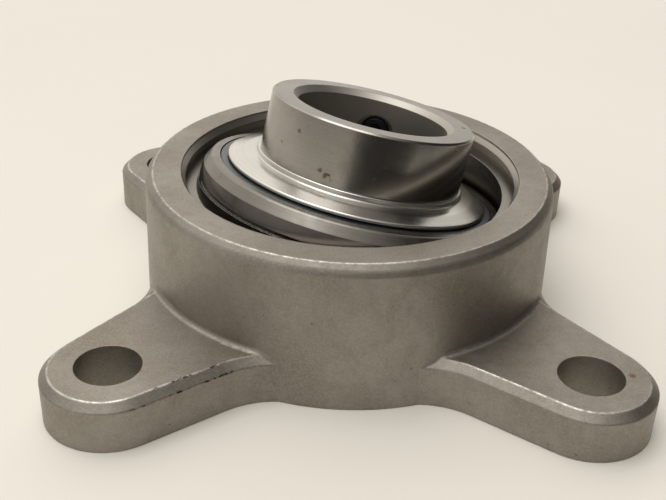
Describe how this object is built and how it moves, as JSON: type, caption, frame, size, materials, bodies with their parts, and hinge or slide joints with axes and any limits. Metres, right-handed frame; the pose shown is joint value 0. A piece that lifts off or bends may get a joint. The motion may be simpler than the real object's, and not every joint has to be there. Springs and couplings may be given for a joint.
{
  "type": "four-bolt flange bearing unit",
  "caption": "Square four-bolt flange housing with a self-aligning ball bearing insert, locked to a shaft by set screws.",
  "frame": {"origin": "centre of the mounting face, on the housing's axis", "axes": "+Z out of the mounting face along the housing's axis, towards the collar; +X and +Y along the sides of the bolt square, +Y towards the grease nipple"},
  "size_m": [0.1064, 0.1064, 0.0444],
  "materials": {
    "cast_stainless": "investment cast and blasted stainless steel, machined on the rim and mounting face",
    "ground_steel": "ground and polished bearing steel",
    "turned_steel": "fine turned and ground stainless steel",
    "pressed_steel": "bright pressed sheet steel",
    "ball_steel": "lapped mirror finish",
    "seal_rubber": "moulded nitrile rubber",
    "black_oxide": "black oxide on alloy steel",
    "plated_steel": "zinc plated steel"
  },
  "bodies": {
    "housing": {"housing": "cast_stainless", "grease_nipple": "plated_steel", "nipple_spring": "plated_steel"},
    "check_ball": {"nipple_ball": "ball_steel"},
    "outer_race": {"outer_ring": "ground_steel", "seal_shell_upper": "pressed_steel", "seal_shell_lower": "pressed_steel", "seal_lip_upper": "seal_rubber", "seal_lip_lower": "seal_rubber"},
    "inner_race": {"inner_ring": "turned_steel", "slinger": "pressed_steel"},
    "cage": {"cage_upper": "pressed_steel", "cage_lower": "pressed_steel", "cage_rivets": "pressed_steel"},
    "ball_1": {"ball_1": "ball_steel"},
    "ball_2": {"ball_2": "ball_steel"},
    "ball_3": {"ball_3": "ball_steel"},
    "ball_4": {"ball_4": "ball_steel"},
    "ball_5": {"ball_5": "ball_steel"},
    "ball_6": {"ball_6": "ball_steel"},
    "ball_7": {"ball_7": "ball_steel"},
    "ball_8": {"ball_8": "ball_steel"},
    "ball_9": {"ball_9": "ball_steel"},
    "set_screw_1": {"set_screw_1": "black_oxide"},
    "set_screw_2": {"set_screw_2": "black_oxide"}
  },
  "joints": [
    {"name": "insert_tilt", "type": "hinge", "parent": "housing", "child": "outer_race", "pos_m": [0, 0, 0.018], "axis": [-0.5962, 0.8028, 0], "range_deg": [-34.2, 5.8]},
    {"name": "shaft_spin", "type": "hinge", "parent": "outer_race", "child": "inner_race", "pos_m": [0, 0, 0.018], "axis": [0.1969, 0.1463, 0.9694], "continuous": true},
    {"name": "cage_spin", "type": "hinge", "parent": "outer_race", "child": "cage", "pos_m": [0, 0, 0.018], "axis": [0.1969, 0.1463, 0.9694], "continuous": true},
    {"name": "ball_1_spin", "type": "hinge", "parent": "cage", "child": "ball_1", "pos_m": [0.0179, 0.01329, 0.01236], "axis": [0.1969, 0.1463, 0.9694], "continuous": true},
    {"name": "ball_2_spin", "type": "hinge", "parent": "cage", "child": "ball_2", "pos_m": [0.0049, 0.02205, 0.01368], "axis": [0.1969, 0.1463, 0.9694], "continuous": true},
    {"name": "ball_3_spin", "type": "hinge", "parent": "cage", "child": "ball_3", "pos_m": [-0.0104, 0.02049, 0.01702], "axis": [0.1969, 0.1463, 0.9694], "continuous": true},
    {"name": "ball_4_spin", "type": "hinge", "parent": "cage", "child": "ball_4", "pos_m": [-0.02083, 0.00934, 0.02082], "axis": [0.1969, 0.1463, 0.9694], "continuous": true},
    {"name": "ball_5_spin", "type": "hinge", "parent": "cage", "child": "ball_5", "pos_m": [-0.02151, -0.00618, 0.0233], "axis": [0.1969, 0.1463, 0.9694], "continuous": true},
    {"name": "ball_6_spin", "type": "hinge", "parent": "cage", "child": "ball_6", "pos_m": [-0.01213, -0.01881, 0.0233], "axis": [0.1969, 0.1463, 0.9694], "continuous": true},
    {"name": "ball_7_spin", "type": "hinge", "parent": "cage", "child": "ball_7", "pos_m": [0.00293, -0.02264, 0.02082], "axis": [0.1969, 0.1463, 0.9694], "continuous": true},
    {"name": "ball_8_spin", "type": "hinge", "parent": "cage", "child": "ball_8", "pos_m": [0.01661, -0.01588, 0.01702], "axis": [0.1969, 0.1463, 0.9694], "continuous": true},
    {"name": "ball_9_spin", "type": "hinge", "parent": "cage", "child": "ball_9", "pos_m": [0.02253, -0.00169, 0.01368], "axis": [0.1969, 0.1463, 0.9694], "continuous": true},
    {"name": "set_screw_1_travel", "type": "slide", "parent": "inner_race", "child": "set_screw_1", "axis": [0.171, 0.9685, -0.1809], "range_m": [-0.00045, 0.0035]},
    {"name": "set_screw_2_travel", "type": "slide", "parent": "inner_race", "child": "set_screw_2", "axis": [0.9327, 0.2769, -0.2312], "range_m": [-0.00045, 0.0035]},
    {"name": "check_ball_lift", "type": "slide", "parent": "housing", "child": "check_ball", "axis": [0, -1, 0], "range_m": [0, 0.0007], "stiffness_N_per_m": 400, "springref_m": -0.0005, "deforming": ["nipple_spring"]}
  ],
  "couplings": [
    {"joint": "cage_spin", "follows": "shaft_spin", "ratio": 0.39647},
    {"joint": "ball_1_spin", "follows": "shaft_spin", "ratio": -2.3112},
    {"joint": "ball_2_spin", "follows": "shaft_spin", "ratio": -2.3112},
    {"joint": "ball_3_spin", "follows": "shaft_spin", "ratio": -2.3112},
    {"joint": "ball_4_spin", "follows": "shaft_spin", "ratio": -2.3112},
    {"joint": "ball_5_spin", "follows": "shaft_spin", "ratio": -2.3112},
    {"joint": "ball_6_spin", "follows": "shaft_spin", "ratio": -2.3112},
    {"joint": "ball_7_spin", "follows": "shaft_spin", "ratio": -2.3112},
    {"joint": "ball_8_spin", "follows": "shaft_spin", "ratio": -2.3112},
    {"joint": "ball_9_spin", "follows": "shaft_spin", "ratio": -2.3112}
  ]
}
